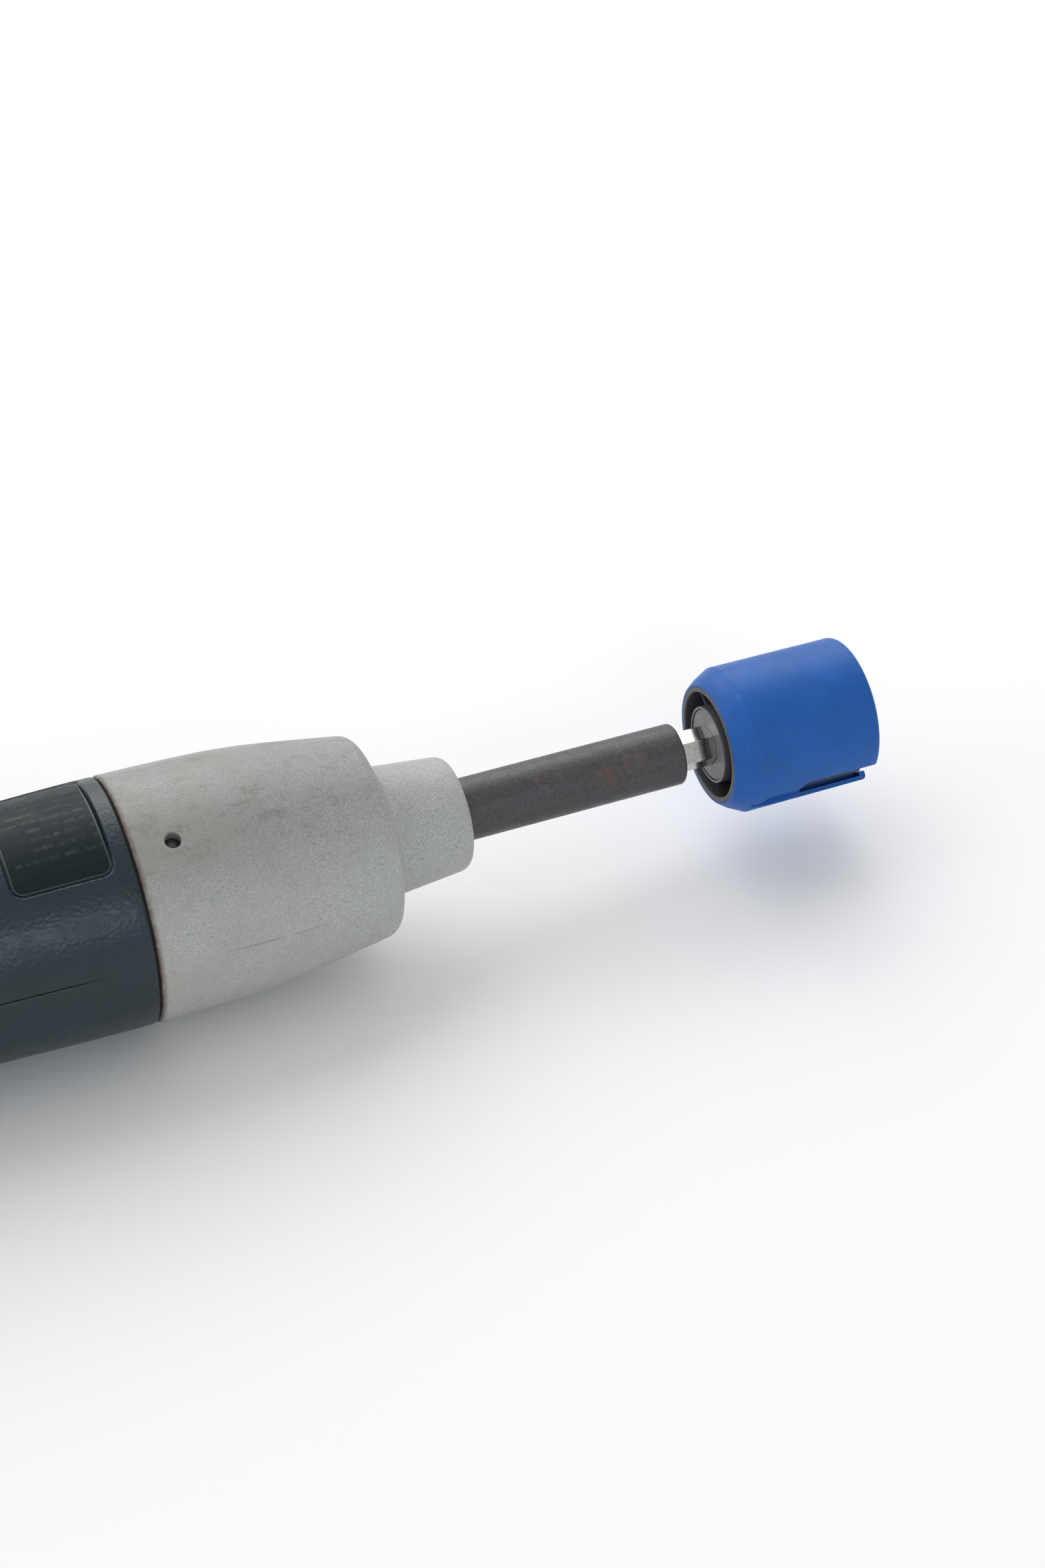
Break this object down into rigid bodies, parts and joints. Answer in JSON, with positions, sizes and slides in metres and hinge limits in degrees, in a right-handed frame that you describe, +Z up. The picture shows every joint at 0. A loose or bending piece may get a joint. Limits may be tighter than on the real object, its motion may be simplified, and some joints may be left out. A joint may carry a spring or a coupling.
{
  "type": "powered string winder",
  "caption": "Cordless inline driver whose bit holder turns a blue rubber-lined winder head, which fits over a guitar's tuning key and spins it to wind or unwind a string.",
  "frame": {"origin": "on the ground under the middle of the overall length, midway across", "axes": "+X along the spindle towards the winder head's mouth, +Z up from the flat keel that the handle lies on, +Y to its left seen from the rear"},
  "size_m": [0.281, 0.0426, 0.0435],
  "materials": {
    "blue_sleeve": "satin moulded blue plastic",
    "black_plastic": "glossy black plastic",
    "end_cap_plastic": "fine grained black plastic",
    "rubber_lining": "matte black rubber",
    "grey_disc": "satin dark grey plastic",
    "nickel_plate": "bright nickel plate",
    "black_oxide": "worn black oxide on steel with rust spots",
    "grey_case": "fine speckled light grey paint on a die casting",
    "green_housing": "dark green grained plastic",
    "label_film": "dark satin film label",
    "steel": "machined steel",
    "zinc_plate": "zinc plate",
    "nylon": "natural nylon",
    "bronze": "sintered bronze",
    "brass": "turned brass",
    "copper": "enamelled copper on laminations",
    "magnet": "sintered magnet",
    "cell_wrap": "shrink-wrapped cell",
    "red_wire": "soft insulation",
    "black_wire": "soft insulation"
  },
  "bodies": {
    "root": {"gear_case": "grey_case", "front_bushing": "bronze", "thrust_washer": "brass", "ring_gear": "steel", "gearbox_plate": "zinc_plate", "case_pin_1": "steel", "case_pin_2": "steel", "motor_screw_1": "zinc_plate", "motor_screw_2": "zinc_plate", "motor_can": "zinc_plate", "motor_end_cap": "black_plastic", "motor_magnet_1": "magnet", "motor_magnet_2": "magnet", "upper_housing": "green_housing", "lower_housing": "green_housing", "rating_label": "label_film", "housing_screw_1": "zinc_plate", "housing_screw_2": "zinc_plate", "housing_screw_3": "zinc_plate", "housing_screw_4": "zinc_plate", "end_cap": "end_cap_plastic", "charge_socket": "black_plastic", "switch_body": "black_plastic", "cell_front": "cell_wrap", "cell_rear": "cell_wrap", "cell_link": "nickel_plate", "lead_red": "red_wire", "lead_black": "black_wire"},
    "rotor": {"motor_shaft": "steel", "motor_pinion": "brass", "armature": "copper", "commutator": "copper"},
    "first_carrier": {"stage1_carrier": "steel"},
    "spindle": {"output_spindle": "steel", "spindle_clip_ring": "steel", "spindle_circlip": "steel", "stage2_pin_1": "steel", "stage2_pin_2": "steel", "stage2_pin_3": "steel"},
    "bit_holder": {"holder_sleeve": "black_oxide", "holder_magnet": "magnet", "holder_clip_ring": "steel", "holder_shank": "nickel_plate"},
    "winder_head": {"winder_sleeve": "blue_sleeve", "winder_core": "black_plastic", "winder_liner": "rubber_lining", "hub_disc": "grey_disc", "grip_washer": "nickel_plate", "winder_shank": "nickel_plate"},
    "rocker": {"switch_rocker": "black_plastic", "rocker_pin": "steel"},
    "planet_1_1": {"stage1_planet_1": "nylon"},
    "planet_1_2": {"stage1_planet_2": "nylon"},
    "planet_1_3": {"stage1_planet_3": "nylon"},
    "planet_2_1": {"stage2_planet_1": "steel"},
    "planet_2_2": {"stage2_planet_2": "steel"},
    "planet_2_3": {"stage2_planet_3": "steel"}
  },
  "joints": [
    {"name": "motor_spin", "type": "hinge", "parent": "root", "child": "rotor", "pos_m": [0, 0, 0.022], "axis": [1, 0, 0], "continuous": true},
    {"name": "first_carrier_spin", "type": "hinge", "parent": "root", "child": "first_carrier", "pos_m": [0.0185, 0, 0.022], "axis": [1, 0, 0], "continuous": true},
    {"name": "spindle_spin", "type": "hinge", "parent": "root", "child": "spindle", "pos_m": [0.045, 0, 0.022], "axis": [1, 0, 0], "continuous": true},
    {"name": "planet_1_1_spin", "type": "hinge", "parent": "first_carrier", "child": "planet_1_1", "pos_m": [0.0145, 0, 0.03078], "axis": [1, 0, 0], "continuous": true},
    {"name": "planet_1_2_spin", "type": "hinge", "parent": "first_carrier", "child": "planet_1_2", "pos_m": [0.0145, -0.0076, 0.01761], "axis": [1, 0, 0], "continuous": true},
    {"name": "planet_1_3_spin", "type": "hinge", "parent": "first_carrier", "child": "planet_1_3", "pos_m": [0.0145, 0.0076, 0.01761], "axis": [1, 0, 0], "continuous": true},
    {"name": "planet_2_1_spin", "type": "hinge", "parent": "spindle", "child": "planet_2_1", "pos_m": [0.0235, 0, 0.03078], "axis": [1, 0, 0], "continuous": true},
    {"name": "planet_2_2_spin", "type": "hinge", "parent": "spindle", "child": "planet_2_2", "pos_m": [0.0235, -0.0076, 0.01761], "axis": [1, 0, 0], "continuous": true},
    {"name": "planet_2_3_spin", "type": "hinge", "parent": "spindle", "child": "planet_2_3", "pos_m": [0.0235, 0.0076, 0.01761], "axis": [1, 0, 0], "continuous": true},
    {"name": "holder_pull", "type": "slide", "parent": "spindle", "child": "bit_holder", "axis": [1, 0, 0], "range_m": [0, 0.02]},
    {"name": "winder_pull", "type": "slide", "parent": "bit_holder", "child": "winder_head", "axis": [1, 0, 0], "range_m": [0, 0.015]},
    {"name": "switch_rock", "type": "hinge", "parent": "root", "child": "rocker", "pos_m": [-0.0542, 0, 0.0369], "axis": [0, 1, 0], "range_deg": [-7, 7], "stiffness_Nm_per_rad": 0.005}
  ],
  "couplings": [
    {"joint": "first_carrier_spin", "follows": "motor_spin", "ratio": 0.16667},
    {"joint": "spindle_spin", "follows": "motor_spin", "ratio": 0.027778},
    {"joint": "planet_1_1_spin", "follows": "motor_spin", "ratio": -0.41667},
    {"joint": "planet_1_2_spin", "follows": "motor_spin", "ratio": -0.41667},
    {"joint": "planet_1_3_spin", "follows": "motor_spin", "ratio": -0.41667},
    {"joint": "planet_2_1_spin", "follows": "motor_spin", "ratio": -0.069444},
    {"joint": "planet_2_2_spin", "follows": "motor_spin", "ratio": -0.069444},
    {"joint": "planet_2_3_spin", "follows": "motor_spin", "ratio": -0.069444}
  ]
}
